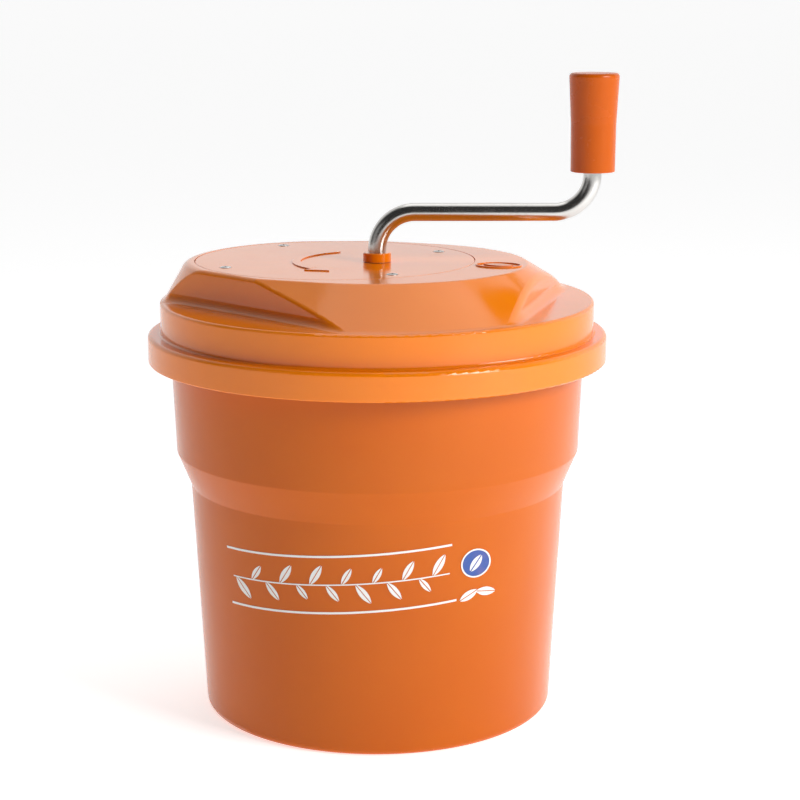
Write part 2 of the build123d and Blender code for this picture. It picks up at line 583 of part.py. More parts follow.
NODES = [
    bucket, pivot_pin, pivot_cap, basket, basket_cover,
    lid, gear_cover, cover_gasket, cover_screws, crank_bush,
    driver_bush, driver_seal, layshaft, layshaft_washer, layshaft_circlip,
    cluster_gear, basket_driver, driver_circlip,
    crank_rod, crank_collar, crank_gear, cross_pin, crank_washer, grip_washer, grip_screw,
    grip, grip_bush, grip_cap,
]

os.makedirs("parts", exist_ok=True)
for make in NODES:
    shape = make()
    export_step(shape, f"parts/{make.__name__}.step")
    print(make.__name__, len(shape.solids()), "solids", shape.is_valid, round(shape.volume))
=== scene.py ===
"""Looks for a hand-cranked salad spinner: finishes, printed and raised marks, and a plain studio."""
from math import atan2, cos, degrees, radians, sin

import bpy
from bpy.props import FloatProperty, FloatVectorProperty, IntProperty, PointerProperty
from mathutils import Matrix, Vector


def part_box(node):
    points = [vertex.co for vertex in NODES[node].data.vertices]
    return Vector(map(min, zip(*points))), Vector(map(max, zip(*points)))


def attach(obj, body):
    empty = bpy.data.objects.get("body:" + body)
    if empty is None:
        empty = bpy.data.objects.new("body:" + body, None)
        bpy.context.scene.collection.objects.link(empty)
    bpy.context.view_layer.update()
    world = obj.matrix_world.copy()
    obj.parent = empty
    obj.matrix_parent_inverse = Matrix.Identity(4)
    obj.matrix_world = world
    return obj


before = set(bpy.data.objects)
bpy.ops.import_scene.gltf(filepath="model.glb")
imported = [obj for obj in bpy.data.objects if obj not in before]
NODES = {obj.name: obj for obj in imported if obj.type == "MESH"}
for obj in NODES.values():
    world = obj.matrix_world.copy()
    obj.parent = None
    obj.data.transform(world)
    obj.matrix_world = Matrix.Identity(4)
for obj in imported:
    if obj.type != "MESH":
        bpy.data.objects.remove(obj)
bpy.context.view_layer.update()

bl_info = {
    "name": "Salad spinner looks",
    "version": (1, 0, 0),
    "blender": (4, 5, 0),
    "location": "3D View > Sidebar > Spinner",
    "description": "Finishes, marks and studio for a hand-cranked salad spinner",
    "category": "Object",
}

BUCKET_FRONT_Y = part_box("bucket")[0].y
COVER_TOP_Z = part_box("gear_cover")[1].z
DECK_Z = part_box("lid")[1].z

# The front print, in metres and degrees: X and Z on the bucket's front, then shares of the rules' length.
PRINT_PLACE, PRINT_TILT = (-0.0245, 0.1246), 4.6
STEM_WIDTH, STEM_SHARE, LEAF_ROW_SHARE = 0.0009, 0.96, 0.94
LEAF_LEAN, LEAF_OFFSET, LEAF_VEIN, LEAF_SLIM = 34, 0.44, 0.0007, 0.15
# The round mark: X and Z on the bucket's front, its blue ground's share of the radius, and its ink.
BADGE_PLACE, BADGE_GROUND_SHARE, BADGE_INK_SHARE = (0.0682, 0.1354), 0.9, 1.6
# The raised marks on the lid: azimuths run from +X.
ARROW_WIDTH, ARROW_START, ARROW_END, ARROW_TIP, ARROW_HEAD = 0.006, 118, 222, 226, 0.0105
OVAL_PLACE, OVAL_TURN, OVAL_RIM, OVAL_SHAPE = (0.0862, -0.0205), -12, 0.0011, 0.76
ARROW_EDGE, OVAL_EDGE = 0.00018, 0.00015

PLASTIC_WEAR = {"Width": 0.0007, "Amount": 0.35}
METAL_WEAR = {"Width": 0.0004, "Amount": 0.7}
MOULDED_BUMP, METAL_BUMP = 0.00006, 0.00003

FLOOR_SIZE, FLOOR_GLOW = 80, 0.6
WORLD_DIM, WORLD_BRIGHT, WORLD_BRIGHT_FROM = 0.035, 1.05, 0.6
LIT_POINT = (0, 0, 0.22)
LIGHTS = (  # name, place, size in metres, power in watts
    ("key_light", (1.45, -0.95, 1.05), 0.8, 29),
    ("fill_light", (-1.6, -0.9, 0.7), 1.2, 1.2),
    ("top_light", (0.1, 0.35, 1.7), 1.0, 3.0),
)
CAMERA_PLACE, CAMERA_DOWN = (0.01644, -1.41632, 0.52425), 11.956
CAMERA_SENSOR, CAMERA_LENS, CAMERA_REACH = 36, 89.37, 200


def colour_property(name, description, value):
    """A colour a user would change, with its default."""
    return FloatVectorProperty(
        name=name, description=description, subtype="COLOR", size=3, min=0, max=1, default=value)


def length_property(name, description, value):
    """A length in metres a user would change, with its default."""
    return FloatProperty(name=name, description=description, subtype="DISTANCE", unit="LENGTH", default=value)


class SpinnerColours(bpy.types.PropertyGroup):
    """Colours of the spinner's plastics, metals and print."""
    bucket: colour_property("Bucket", "Orange of the bucket's plastic", (0.62, 0.128, 0.0008))
    lid: colour_property("Lid", "Orange of the lid, its gear cover and the collar", (0.9, 0.225, 0.0012))
    grip: colour_property("Grip", "Orange of the grip and its cap", (0.58, 0.105, 0.0008))
    basket: colour_property("Basket", "Natural white of the basket", (0.80, 0.79, 0.73))
    nylon: colour_property("Nylon", "Natural nylon of gears and bearings", (0.72, 0.68, 0.55))
    steel: colour_property("Steel", "Stainless steel of crank, pins and screws", (0.60, 0.59, 0.57))
    bronze: colour_property("Bronze", "Sintered bronze of the bushes", (0.46, 0.27, 0.11))
    print_white: colour_property("Print", "White ink on the bucket", (0.90, 0.89, 0.86))
    badge: colour_property("Badge", "Blue ground of the round mark", (0.03, 0.09, 0.36))
    floor: colour_property("Floor", "Pale studio floor", (0.93, 0.93, 0.93))


class SpinnerSizes(bpy.types.PropertyGroup):
    """Sizes of the printed and raised marks."""
    ink: length_property("Ink", "Thickness of the printed ink", 0.00012)
    rule_width: length_property("Rule width", "Width of the two printed rules", 0.0015)
    rule_length: length_property("Rule length", "Length of the two printed rules", 0.156)
    rule_gap: length_property("Rule gap", "Height between the two printed rules", 0.0402)
    leaf_length: length_property("Leaf length", "Length of a printed leaf", 0.0165)
    leaf_count: IntProperty(name="Leaves", description="Printed leaves along the stem", default=14, min=2)
    badge_radius: length_property("Badge radius", "Radius of the round printed mark", 0.0103)
    relief: length_property("Relief", "Height of the raised marks on the lid", 0.0008)
    arrow_radius: length_property("Arrow radius", "Radius of the raised turning arrow", 0.058)
    oval_length: length_property("Oval length", "Length of the raised oval on the deck", 0.033)


# ------------------------------------------------------------------ modelling helpers
def deselect():
    """Leaves edit mode and clears the selection."""
    if bpy.context.object and bpy.context.object.mode != "OBJECT":
        bpy.ops.object.mode_set(mode="OBJECT")
    bpy.ops.object.select_all(action="DESELECT")


def use(obj):
    """Makes one object the only selected and active one."""
    deselect()
    obj.select_set(True)
    bpy.context.view_layer.objects.active = obj
    return obj


def pick_faces(obj, test):
    """Goes to edit mode with only the faces whose centre and normal pass the test selected."""
    use(obj)
    bpy.ops.object.mode_set(mode="EDIT")
    bpy.ops.mesh.select_mode(type="FACE")
    bpy.ops.mesh.select_all(action="DESELECT")
    bpy.ops.object.mode_set(mode="OBJECT")
    for face in obj.data.polygons:
        face.select = test(face.center, face.normal)
    bpy.ops.object.mode_set(mode="EDIT")


def settle(obj):
    """Bakes an object's place, turn and size into its mesh."""
    use(obj)
    bpy.ops.object.transform_apply(location=True, rotation=True, scale=True)
    return obj


def joined(pieces, name):
    """One mesh from several, with its place in its vertices."""
    use(pieces[0])
    for piece in pieces:
        piece.select_set(True)
    bpy.ops.object.join()
    pieces[0].name = name
    pieces[0].data.name = name
    return settle(pieces[0])


def apply_modifier(obj, kind, **settings):
    """Adds a modifier, sets it and applies it."""
    use(obj)
    modifier = obj.modifiers.new(kind.lower(), kind)
    for key, value in settings.items():
        setattr(modifier, key, value)
    bpy.ops.object.modifier_apply(modifier=modifier.name)


def strip(length, width, x=0.0, y=0.0):
    """A flat ruled line of many short faces along X."""
    deselect()
    bpy.ops.mesh.primitive_grid_add(x_subdivisions=96, y_subdivisions=1, size=1, location=(x, y, 0))
    line = bpy.context.object
    line.scale = (length, width, 1)
    return settle(line)


def leaf(length, x, y, turn, vein=0.0011, slim=0.2):
    """A flat pointed leaf: two mirrored slices of a disc with the vein left open between them."""
    half_width = slim * length
    radius = (half_width ** 2 + (length / 2) ** 2) / (2 * half_width)
    deselect()
    bpy.ops.mesh.primitive_circle_add(vertices=128, radius=radius, fill_type="NGON")
    half = bpy.context.object
    bpy.ops.object.mode_set(mode="EDIT")
    bpy.ops.mesh.select_all(action="SELECT")
    bpy.ops.mesh.bisect(
        plane_co=(radius - half_width, 0, 0), plane_no=(1, 0, 0), clear_inner=True, use_fill=False)
    bpy.ops.mesh.select_all(action="SELECT")
    bpy.ops.transform.translate(value=(half_width - radius + vein / 2, 0, 0))
    bpy.ops.mesh.quads_convert_to_tris()
    bpy.ops.mesh.subdivide(number_cuts=1)
    bpy.ops.object.mode_set(mode="OBJECT")
    apply_modifier(half, "MIRROR", use_axis=(True, False, False), use_mirror_merge=False)
    half.rotation_euler = (0, 0, turn)
    half.location = (x, y, 0)
    return settle(half)


def disc(radius, x=0.0, y=0.0, inner=0.0):
    """A flat ring when given an inner radius, or else a disc of ringed faces that can follow a wall."""
    deselect()
    bpy.ops.mesh.primitive_circle_add(vertices=72, radius=radius, fill_type="NGON", location=(x, y, 0))
    plate = bpy.context.object
    bpy.ops.object.mode_set(mode="EDIT")
    bpy.ops.mesh.select_all(action="SELECT")
    if inner:
        bpy.ops.mesh.inset(thickness=radius - inner)
        bpy.ops.mesh.delete(type="FACE")
    else:
        for _ in range(4):
            bpy.ops.mesh.inset(thickness=radius / 5)
    bpy.ops.object.mode_set(mode="OBJECT")
    return settle(plate)


def arc_band(radius, width, start, end):
    """A flat curved band between two azimuths in degrees."""
    band = disc(radius + width / 2, inner=radius - width / 2)

    def outside(point, _normal):
        azimuth = degrees(atan2(point.y, point.x)) % 360
        return not start <= azimuth <= end

    pick_faces(band, outside)
    bpy.ops.mesh.delete(type="FACE")
    bpy.ops.object.mode_set(mode="OBJECT")
    return settle(band)


def wrap_on_bucket(art, x, z, tilt, ink):
    """Stands flat artwork up in front of the bucket and lays it on the wall as a thin layer."""
    art.rotation_euler = (radians(90), -tilt, 0)
    art.location = (x, BUCKET_FRONT_Y - 0.05, z)
    settle(art)
    apply_modifier(
        art, "SHRINKWRAP", target=NODES["bucket"], wrap_method="PROJECT", use_project_x=False,
        use_project_y=True, use_project_z=False, use_negative_direction=True, use_positive_direction=True,
        offset=2 * ink, cull_face="BACK")
    apply_modifier(art, "SOLIDIFY", thickness=ink, offset=0)


def finish_piece(piece, body, material):
    """Gives a new piece its body and material."""
    piece.data.materials.clear()
    piece.data.materials.append(material)
    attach(piece, body)


def raise_on_lid(art, place, turn, edge):
    """Turns flat artwork, sets it down on the lid, and gives it height, a soft edge and the lid's finish."""
    art.rotation_euler = (0, 0, radians(turn))
    art.location = place
    settle(art)
    scene = bpy.context.scene
    apply_modifier(art, "SOLIDIFY", thickness=scene.spinner_sizes.relief, offset=1)
    apply_modifier(art, "BEVEL", width=edge, segments=2, limit_method="ANGLE")
    finish_piece(art, "lid_body", lid_plastic(scene.spinner_colours))


# ------------------------------------------------------------------ shader groups
def new_group(name, inputs, outputs):
    """A shader node group with named sockets."""
    group = bpy.data.node_groups.new(name, "ShaderNodeTree")
    for label, kind, value in inputs:
        socket = group.interface.new_socket(label, in_out="INPUT", socket_type=kind)
        socket.default_value = value
    for label, kind in outputs:
        group.interface.new_socket(label, in_out="OUTPUT", socket_type=kind)
    return group, group.nodes.new("NodeGroupInput"), group.nodes.new("NodeGroupOutput")


def math_node(tree, operation, first, second=0.5, clamp=False):
    """A maths node whose inputs are sockets or plain numbers."""
    node = tree.nodes.new("ShaderNodeMath")
    node.operation = operation
    node.use_clamp = clamp
    for index, value in enumerate((first, second)):
        if hasattr(value, "is_linked"):
            tree.links.new(value, node.inputs[index])
        else:
            node.inputs[index].default_value = value
    return node.outputs[0]


def mapped_range(tree, value, low, high, to_low, to_high):
    """A clamped map from one range to another."""
    node = tree.nodes.new("ShaderNodeMapRange")
    tree.links.new(value, node.inputs["Value"])
    node.inputs["From Min"].default_value = low
    node.inputs["From Max"].default_value = high
    for label, limit in (("To Min", to_low), ("To Max", to_high)):
        if hasattr(limit, "is_linked"):
            tree.links.new(limit, node.inputs[label])
        else:
            node.inputs[label].default_value = limit
    return node.outputs["Result"]


def noise(tree, scale, detail=2.0, roughness=0.5, stretch=None):
    """Noise on Object coordinates, stretched along the axes if asked."""
    place = tree.nodes.new("ShaderNodeTexCoord").outputs["Object"]
    if stretch:
        mapping = tree.nodes.new("ShaderNodeMapping")
        mapping.inputs["Scale"].default_value = stretch
        tree.links.new(place, mapping.inputs["Vector"])
        place = mapping.outputs["Vector"]
    node = tree.nodes.new("ShaderNodeTexNoise")
    node.inputs["Detail"].default_value = detail
    node.inputs["Roughness"].default_value = roughness
    if hasattr(scale, "is_linked"):
        tree.links.new(scale, node.inputs["Scale"])
    else:
        node.inputs["Scale"].default_value = scale
    tree.links.new(place, node.inputs["Vector"])
    return node.outputs["Fac"]


def mixed(tree, factor, first, second):
    """A colour mix whose inputs are sockets or plain colours."""
    node = tree.nodes.new("ShaderNodeMix")
    node.data_type = "RGBA"
    for index, value in ((0, factor), (6, first), (7, second)):
        if hasattr(value, "is_linked"):
            tree.links.new(value, node.inputs[index])
        else:
            node.inputs[index].default_value = value if index == 0 else (*value, 1)
    return node.outputs[2]


def moulding_group():
    """Injection-moulded plastic: slow colour flow, handling smudges, fine scuffs and a faint grain."""
    group, given, made = new_group(
        "moulded_plastic",
        [("Colour", "NodeSocketColor", (1, 1, 1, 1)), ("Deep colour", "NodeSocketColor", (0, 0, 0, 1)),
         ("Roughness", "NodeSocketFloat", 0.3), ("Smudge", "NodeSocketFloat", 0.08),
         ("Grain scale", "NodeSocketFloat", 1500.0), ("Grain", "NodeSocketFloat", 0.1)],
        [("Colour", "NodeSocketColor"), ("Roughness", "NodeSocketFloat"), ("Normal", "NodeSocketVector")])
    flow = mapped_range(group, noise(group, 14, 3, 0.6), 0.35, 0.7, 0, 1)
    speckle = mapped_range(group, noise(group, 900, 1), 0.3, 0.75, 0, 0.35)
    amount = math_node(group, "MULTIPLY", math_node(group, "ADD", flow, speckle), 0.5)
    colour = mixed(group, amount, given.outputs["Colour"], given.outputs["Deep colour"])
    group.links.new(colour, made.inputs["Colour"])
    smudges = mapped_range(group, noise(group, 42, 5, 0.62), 0.46, 0.68, 0, 1)
    scuffs = mapped_range(group, noise(group, 160, 2, 0.5, (1, 1, 0.04)), 0.62, 0.70, 0, 0.5)
    marks = math_node(group, "MAXIMUM", smudges, scuffs)
    rough = math_node(group, "MULTIPLY_ADD", marks, given.outputs["Smudge"])
    group.links.new(given.outputs["Roughness"], rough.node.inputs[2])
    group.links.new(rough, made.inputs["Roughness"])
    bump = group.nodes.new("ShaderNodeBump")
    bump.inputs["Distance"].default_value = MOULDED_BUMP
    group.links.new(given.outputs["Grain"], bump.inputs["Strength"])
    group.links.new(noise(group, given.outputs["Grain scale"], 2, 0.6), bump.inputs["Height"])
    group.links.new(bump.outputs["Normal"], made.inputs["Normal"])
    return group


def wear_group():
    """Edge wear: a mask of a part's outer edges, broken up by noise."""
    group, given, made = new_group(
        "edge_wear",
        [("Width", "NodeSocketFloat", 0.0006), ("Amount", "NodeSocketFloat", 1.0)],
        [("Mask", "NodeSocketFloat")])
    bevel = group.nodes.new("ShaderNodeBevel")
    bevel.samples = 4
    group.links.new(given.outputs["Width"], bevel.inputs["Radius"])
    geometry = group.nodes.new("ShaderNodeNewGeometry")
    dot = group.nodes.new("ShaderNodeVectorMath")
    dot.operation = "DOT_PRODUCT"
    group.links.new(bevel.outputs["Normal"], dot.inputs[0])
    group.links.new(geometry.outputs["Normal"], dot.inputs[1])
    edge = mapped_range(group, dot.outputs["Value"], 0.995, 0.85, 0, 1)
    broken = mapped_range(group, noise(group, 260, 3), 0.35, 0.6, 0.2, 1)
    share = math_node(group, "MULTIPLY", broken, given.outputs["Amount"])
    mask = math_node(group, "MULTIPLY", edge, share, True)
    group.links.new(mask, made.inputs["Mask"])
    return group


def metal_group():
    """Worked metal: fine drawn grain, faint handling marks and a soft roughness."""
    group, given, made = new_group(
        "worked_metal",
        [("Colour", "NodeSocketColor", (1, 1, 1, 1)), ("Roughness", "NodeSocketFloat", 0.25),
         ("Spread", "NodeSocketFloat", 0.1), ("Grain", "NodeSocketFloat", 0.1)],
        [("Colour", "NodeSocketColor"), ("Roughness", "NodeSocketFloat"), ("Normal", "NodeSocketVector")])
    fine = noise(group, 1400, 2, 0.6, (0.5, 1, 1))
    handled = mapped_range(group, noise(group, 55, 4, 0.65), 0.42, 0.7, 0, 1)
    both = math_node(group, "MULTIPLY", math_node(group, "ADD", fine, handled), 0.5)
    rough = math_node(group, "MULTIPLY_ADD", both, given.outputs["Spread"])
    group.links.new(given.outputs["Roughness"], rough.node.inputs[2])
    group.links.new(rough, made.inputs["Roughness"])
    dulled = math_node(group, "MULTIPLY", handled, 0.25)
    dull = mixed(group, dulled, given.outputs["Colour"], (0.42, 0.40, 0.38))
    group.links.new(dull, made.inputs["Colour"])
    bump = group.nodes.new("ShaderNodeBump")
    bump.inputs["Distance"].default_value = METAL_BUMP
    group.links.new(given.outputs["Grain"], bump.inputs["Strength"])
    group.links.new(fine, bump.inputs["Height"])
    group.links.new(bump.outputs["Normal"], made.inputs["Normal"])
    return group


def shared(name, build):
    """A shader group, built once."""
    return bpy.data.node_groups.get(name) or build()


def placed(tree, name, build, values):
    """A shared group placed in a material with its own values."""
    node = tree.nodes.new("ShaderNodeGroup")
    node.node_tree = shared(name, build)
    for label, value in values.items():
        node.inputs[label].default_value = value
    return node


def blank_material(name, **constants):
    """A finish with its Principled shader's plain sockets set, kept apart from the frame's own materials."""
    name += "_finish"
    material = bpy.data.materials.get(name)
    if material:
        return material, None, None
    material = bpy.data.materials.new(name)
    material.use_nodes = True
    shader = material.node_tree.nodes["Principled BSDF"]
    for label, value in constants.items():
        shader.inputs[label.replace("_", " ")].default_value = value
    return material, material.node_tree, shader


# ------------------------------------------------------------------ materials
def moulded(name, colour, deep, roughness, smudge, grain_scale, grain, **constants):
    """A moulded plastic finish."""
    material, tree, shader = blank_material(name, **constants)
    if tree is None:
        return material
    surface = placed(tree, "moulded_plastic", moulding_group, {
        "Colour": (*colour, 1), "Deep colour": (*deep, 1), "Roughness": roughness, "Smudge": smudge,
        "Grain scale": grain_scale, "Grain": grain})
    wear = placed(tree, "edge_wear", wear_group, PLASTIC_WEAR)
    pale = tuple(min(1, 0.75 * c + 0.25) for c in colour)
    rubbed = mixed(tree, wear.outputs["Mask"], surface.outputs["Colour"], pale)
    tree.links.new(rubbed, shader.inputs["Base Color"])
    tree.links.new(surface.outputs["Roughness"], shader.inputs["Roughness"])
    tree.links.new(surface.outputs["Normal"], shader.inputs["Normal"])
    return material


def deeper(colour, share=0.86):
    """The darker tone of a moulded colour."""
    return (colour[0] * share, colour[1] * share * 0.9, colour[2] * share * 0.8)


def bucket_plastic(colours):
    return moulded(
        "bucket_plastic", colours.bucket, deeper(colours.bucket, 0.95), 0.20, 0.04, 1300, 0.08,
        Subsurface_Weight=0.04, Subsurface_Radius=(0.006, 0.0018, 0.0006), Subsurface_Scale=1.0,
        Specular_IOR_Level=0.28, IOR=1.49)


def lid_plastic(colours):
    return moulded(
        "lid_plastic", colours.lid, deeper(colours.lid, 0.95), 0.14, 0.04, 1500, 0.06,
        Subsurface_Weight=0.04, Subsurface_Radius=(0.006, 0.0018, 0.0006), Subsurface_Scale=1.0,
        Specular_IOR_Level=0.5, IOR=1.50)


def grip_plastic(colours):
    return moulded(
        "grip_plastic", colours.grip, deeper(colours.grip, 0.93), 0.24, 0.06, 1100, 0.12,
        Subsurface_Weight=0.04, Subsurface_Radius=(0.005, 0.0015, 0.0005), Subsurface_Scale=1.0,
        Specular_IOR_Level=0.3, IOR=1.49)


def basket_plastic(colours):
    return moulded(
        "basket_plastic", colours.basket, deeper(colours.basket, 0.93), 0.38, 0.10, 1200, 0.14,
        Subsurface_Weight=0.35, Subsurface_Radius=(0.010, 0.009, 0.007), Subsurface_Scale=1.0, IOR=1.49)


def nylon(colours):
    return moulded(
        "natural_nylon", colours.nylon, deeper(colours.nylon, 0.85), 0.42, 0.12, 1700, 0.12,
        Subsurface_Weight=0.25, Subsurface_Radius=(0.006, 0.005, 0.003), Subsurface_Scale=1.0, IOR=1.53)


def seal_rubber(_colours):
    return moulded("seal_rubber", (0.018, 0.018, 0.019), (0.012, 0.012, 0.012), 0.55, 0.15, 2200, 0.25)


def gear_nylon(colours):
    """Nylon gears with thin patches of grease in the teeth."""
    material, tree, shader = blank_material("gear_nylon", IOR=1.53, Coat_Roughness=0.08)
    if tree is None:
        return material
    surface = placed(tree, "moulded_plastic", moulding_group, {
        "Colour": (*colours.nylon, 1), "Deep colour": (*deeper(colours.nylon, 0.8), 1), "Roughness": 0.40,
        "Smudge": 0.12, "Grain scale": 1800.0, "Grain": 0.12})
    grease = mapped_range(tree, noise(tree, 120, 4, 0.6), 0.48, 0.58, 0, 0.7)
    coloured = mixed(tree, grease, surface.outputs["Colour"], (0.46, 0.36, 0.17))
    tree.links.new(coloured, shader.inputs["Base Color"])
    tree.links.new(grease, shader.inputs["Coat Weight"])
    tree.links.new(surface.outputs["Roughness"], shader.inputs["Roughness"])
    tree.links.new(surface.outputs["Normal"], shader.inputs["Normal"])
    return material


def worked(name, colour, roughness, spread, grain, bright=None):
    """A bare metal finish, brighter where its edges have rubbed."""
    material, tree, shader = blank_material(name, Metallic=1.0)
    if tree is None:
        return material
    surface = placed(tree, "worked_metal", metal_group, {
        "Colour": (*colour, 1), "Roughness": roughness, "Spread": spread, "Grain": grain})
    wear = placed(tree, "edge_wear", wear_group, METAL_WEAR)
    rubbed = bright or tuple(min(1, 1.25 * c) for c in colour)
    tree.links.new(
        mixed(tree, wear.outputs["Mask"], surface.outputs["Colour"], rubbed), shader.inputs["Base Color"])
    tree.links.new(surface.outputs["Roughness"], shader.inputs["Roughness"])
    tree.links.new(surface.outputs["Normal"], shader.inputs["Normal"])
    return material


def crank_steel(colours):
    return worked("crank_steel", colours.steel, 0.17, 0.12, 0.18)


def turned_steel(colours):
    return worked("turned_steel", colours.steel, 0.26, 0.14, 0.3)


def spring_steel(_colours):
    return worked("spring_steel", (0.23, 0.23, 0.24), 0.36, 0.18, 0.3, (0.5, 0.5, 0.5))


def sintered_bronze(colours):
    return worked("sintered_bronze", colours.bronze, 0.38, 0.2, 0.5)


def printed_ink(name, colour):
    """Screen-printed ink: even colour with tiny pinholes and a soft sheen."""
    material, tree, shader = blank_material(name, IOR=1.48)
    if tree is None:
        return material
    pinholes = mapped_range(tree, noise(tree, 1900, 2), 0.66, 0.72, 0, 0.35)
    worn = mapped_range(tree, noise(tree, 60, 4, 0.6), 0.5, 0.75, 0, 0.10)
    coverage = math_node(tree, "MAXIMUM", pinholes, worn)
    tree.links.new(mixed(tree, coverage, colour, (0.78, 0.30, 0.10)), shader.inputs["Base Color"])
    tree.links.new(mapped_range(tree, noise(tree, 300, 3), 0.3, 0.7, 0.30, 0.42), shader.inputs["Roughness"])
    return material


FINISHES = {
    "orange": {"bucket": bucket_plastic, "lid": lid_plastic, "gear_cover": lid_plastic,
               "crank_collar": lid_plastic, "grip": grip_plastic, "grip_cap": grip_plastic},
    "basket": {"basket": basket_plastic, "basket_cover": basket_plastic, "pivot_cap": nylon},
    "gears": {"crank_gear": gear_nylon, "cluster_gear": gear_nylon, "basket_driver": gear_nylon,
              "crank_bush": sintered_bronze, "driver_bush": sintered_bronze, "driver_seal": seal_rubber,
              "cover_gasket": seal_rubber, "layshaft_washer": nylon, "crank_washer": nylon,
              "grip_bush": nylon},
    "steel": {"crank_rod": crank_steel, "cover_screws": turned_steel, "pivot_pin": turned_steel,
              "layshaft": turned_steel, "grip_washer": turned_steel, "grip_screw": turned_steel,
              "cross_pin": spring_steel, "layshaft_circlip": spring_steel, "driver_circlip": spring_steel},
}


def finish_nodes(group):
    """Gives every part in a group its material."""
    colours = bpy.context.scene.spinner_colours
    for node, build in FINISHES[group].items():
        mesh = NODES[node].data
        mesh.materials.clear()
        mesh.materials.append(build(colours))


# ------------------------------------------------------------------ operators
class SPINNER_OT_orange(bpy.types.Operator):
    """Finish the orange mouldings: bucket, lid, gear cover, collar and grip"""
    bl_idname = "spinner.orange"
    bl_label = "Orange mouldings"

    def execute(self, context):
        finish_nodes("orange")
        return {"FINISHED"}


class SPINNER_OT_basket(bpy.types.Operator):
    """Finish the basket, its cover and the pivot cap"""
    bl_idname = "spinner.basket"
    bl_label = "Basket mouldings"

    def execute(self, context):
        finish_nodes("basket")
        return {"FINISHED"}


class SPINNER_OT_gears(bpy.types.Operator):
    """Finish the gears, bushes and seals"""
    bl_idname = "spinner.gears"
    bl_label = "Gear train"

    def execute(self, context):
        finish_nodes("gears")
        return {"FINISHED"}


class SPINNER_OT_steel(bpy.types.Operator):
    """Finish the crank rod, pins, screws, washers and clips"""
    bl_idname = "spinner.steel"
    bl_label = "Steelwork"

    def execute(self, context):
        finish_nodes("steel")
        return {"FINISHED"}


class SPINNER_OT_front_print(bpy.types.Operator):
    """Print two rules and, between them, a stem with slim leaves in white on the bucket's front"""
    bl_idname = "spinner.front_print"
    bl_label = "Front print"

    def execute(self, context):
        sizes = context.scene.spinner_sizes
        pieces = [
            strip(sizes.rule_length, sizes.rule_width, 0, side * sizes.rule_gap / 2) for side in (1, -1)]
        pieces.append(strip(sizes.rule_length * STEM_SHARE, STEM_WIDTH))
        pitch = sizes.rule_length * LEAF_ROW_SHARE / sizes.leaf_count
        for index in range(sizes.leaf_count):
            side = 1 if index % 2 else -1
            length = sizes.leaf_length * (0.86 + 0.14 * cos(2.4 * index))
            x = (index + 0.5) * pitch - sizes.rule_length * (LEAF_ROW_SHARE / 2)
            turn = radians(-side * LEAF_LEAN)
            pieces.append(leaf(length, x, side * LEAF_OFFSET * length, turn, LEAF_VEIN, LEAF_SLIM))
        art = joined(pieces, "front_print")
        wrap_on_bucket(art, *PRINT_PLACE, radians(PRINT_TILT), sizes.ink)
        white_ink = printed_ink("print_white", context.scene.spinner_colours.print_white)
        finish_piece(art, "bucket_body", white_ink)
        return {"FINISHED"}


class SPINNER_OT_round_badge(bpy.types.Operator):
    """Print the round blue mark with its white rim and leaf, and two small leaves under it"""
    bl_idname = "spinner.round_badge"
    bl_label = "Round badge"

    def execute(self, context):
        sizes = context.scene.spinner_sizes
        colours = context.scene.spinner_colours
        radius = sizes.badge_radius
        ground_radius = radius * BADGE_GROUND_SHARE
        ground = disc(ground_radius)
        ground.name = "badge_ground"
        wrap_on_bucket(ground, *BADGE_PLACE, 0, sizes.ink)
        finish_piece(ground, "bucket_body", printed_ink("badge_blue", colours.badge))
        white = [disc(radius, inner=ground_radius), leaf(radius * 1.25, 0, 0, radians(-35), 0.0009)]
        white.append(leaf(radius * 1.3, -0.005, -0.0225, radians(-62), 0.0007))
        white.append(leaf(radius * 1.3, 0.007, -0.0215, radians(-100), 0.0007))
        art = joined(white, "badge_rim_and_leaf")
        wrap_on_bucket(art, *BADGE_PLACE, 0, sizes.ink * BADGE_INK_SHARE)
        finish_piece(art, "bucket_body", printed_ink("print_white", colours.print_white))
        return {"FINISHED"}


class SPINNER_OT_cover_arrow(bpy.types.Operator):
    """Raise a turning arrow on the gear cover, round the crank"""
    bl_idname = "spinner.cover_arrow"
    bl_label = "Cover arrow"

    def execute(self, context):
        radius = context.scene.spinner_sizes.arrow_radius
        pieces = [arc_band(radius, ARROW_WIDTH, ARROW_START, ARROW_END)]
        tip = radians(ARROW_TIP)
        deselect()
        bpy.ops.mesh.primitive_circle_add(
            vertices=3, radius=ARROW_HEAD, fill_type="NGON", rotation=(0, 0, tip),
            location=(radius * cos(tip), radius * sin(tip), 0))
        pieces.append(bpy.context.object)
        raise_on_lid(joined(pieces, "cover_arrow"), (0, 0, COVER_TOP_Z), 0, ARROW_EDGE)
        return {"FINISHED"}


class SPINNER_OT_deck_oval(bpy.types.Operator):
    """Raise an oval rim with a leaf in it on the lid's deck"""
    bl_idname = "spinner.deck_oval"
    bl_label = "Deck oval"

    def execute(self, context):
        sizes = context.scene.spinner_sizes
        rim = disc(sizes.oval_length / 2, inner=sizes.oval_length / 2 - OVAL_RIM)
        rim.scale = (1, OVAL_SHAPE, 1)
        art = joined([settle(rim), leaf(0.022, 0, 0, radians(80), 0.0009)], "deck_oval")
        raise_on_lid(art, (*OVAL_PLACE, DECK_Z), OVAL_TURN, OVAL_EDGE)
        return {"FINISHED"}


def area_light(name, place, target, size, power):
    """A square soft light turned towards a point."""
    data = bpy.data.lights.new(name, "AREA")
    data.size = size
    data.energy = power
    lamp = bpy.data.objects.new(name, data)
    lamp.location = place
    lamp.rotation_euler = (Vector(target) - Vector(place)).to_track_quat("-Z", "Y").to_euler()
    bpy.context.scene.collection.objects.link(lamp)


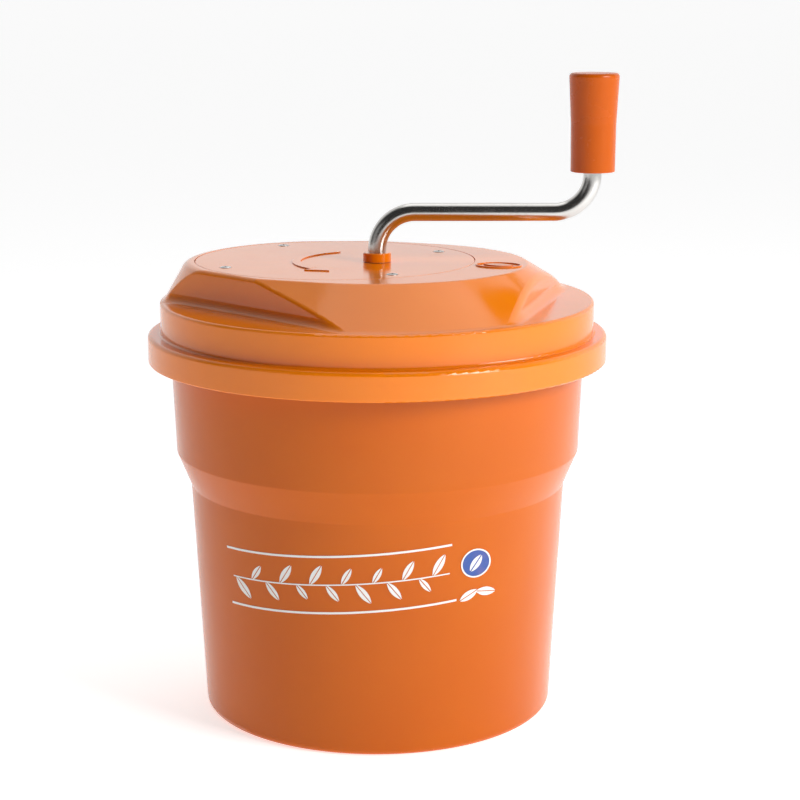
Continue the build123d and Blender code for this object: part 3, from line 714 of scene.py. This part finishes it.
def studio_world():
    """White all round, dimmer towards the viewer's side."""
    world = bpy.data.worlds.new("studio")
    bpy.context.scene.world = world
    world.use_nodes = True
    tree = world.node_tree
    direction = tree.nodes.new("ShaderNodeTexCoord").outputs["Generated"]
    split = tree.nodes.new("ShaderNodeSeparateXYZ")
    tree.links.new(direction, split.inputs[0])
    level = mapped_range(tree, split.outputs["Y"], 0.0, WORLD_BRIGHT_FROM, WORLD_DIM, WORLD_BRIGHT)
    background = tree.nodes["Background"]
    background.inputs["Color"].default_value = (1, 1, 1, 1)
    tree.links.new(level, background.inputs["Strength"])


class SPINNER_OT_stage(bpy.types.Operator):
    """Set up the pale floor, the soft lights and the camera"""
    bl_idname = "spinner.stage"
    bl_label = "Studio"

    def execute(self, context):
        deselect()
        bpy.ops.mesh.primitive_plane_add(size=FLOOR_SIZE, location=(0, 30, 0))
        floor = bpy.context.object
        floor.name = "studio_floor"
        material, tree, shader = blank_material("studio_floor", Roughness=0.9, Specular_IOR_Level=0.1)
        shade = mapped_range(tree, noise(tree, 3, 2), 0.3, 0.7, 0.98, 1.0)
        pale = tuple(context.scene.spinner_colours.floor)
        tree.links.new(mixed(tree, shade, (0.9, 0.9, 0.9), pale), shader.inputs["Base Color"])
        shader.inputs["Emission Color"].default_value = (1, 1, 1, 1)
        shader.inputs["Emission Strength"].default_value = FLOOR_GLOW
        floor.data.materials.append(material)
        studio_world()
        for name, place, size, power in LIGHTS:
            area_light(name, place, LIT_POINT, size, power)
        data = bpy.data.cameras.new("camera")
        data.sensor_width = CAMERA_SENSOR
        data.lens = CAMERA_LENS
        data.clip_end = CAMERA_REACH
        camera = bpy.data.objects.new("camera", data)
        camera.location = CAMERA_PLACE
        camera.rotation_euler = (radians(90 - CAMERA_DOWN), 0, 0)
        context.scene.collection.objects.link(camera)
        context.scene.camera = camera
        context.scene.view_settings.view_transform = "Standard"
        return {"FINISHED"}


class SPINNER_PT_panel(bpy.types.Panel):
    """Buttons for each piece, and the colours and sizes"""
    bl_label = "Salad spinner"
    bl_idname = "SPINNER_PT_panel"
    bl_space_type = "VIEW_3D"
    bl_region_type = "UI"
    bl_category = "Spinner"

    def draw(self, context):
        for operator in OPERATORS:
            self.layout.operator(operator.bl_idname)
        for group in (context.scene.spinner_colours, context.scene.spinner_sizes):
            column = self.layout.column()
            for name in group.__annotations__:
                column.prop(group, name)


OPERATORS = (
    SPINNER_OT_orange, SPINNER_OT_basket, SPINNER_OT_gears, SPINNER_OT_steel, SPINNER_OT_front_print,
    SPINNER_OT_round_badge, SPINNER_OT_cover_arrow, SPINNER_OT_deck_oval, SPINNER_OT_stage,
)
CLASSES = (SpinnerColours, SpinnerSizes, *OPERATORS, SPINNER_PT_panel)


def register():
    for item in CLASSES:
        bpy.utils.register_class(item)
    bpy.types.Scene.spinner_colours = PointerProperty(type=SpinnerColours)
    bpy.types.Scene.spinner_sizes = PointerProperty(type=SpinnerSizes)


def unregister():
    del bpy.types.Scene.spinner_sizes
    del bpy.types.Scene.spinner_colours
    for item in reversed(CLASSES):
        bpy.utils.unregister_class(item)


def main():
    """Builds every piece and the stage."""
    register()
    for operator in OPERATORS:
        group, name = operator.bl_idname.split(".")
        getattr(getattr(bpy.ops, group), name)()


if __name__ == "__main__":
    main()
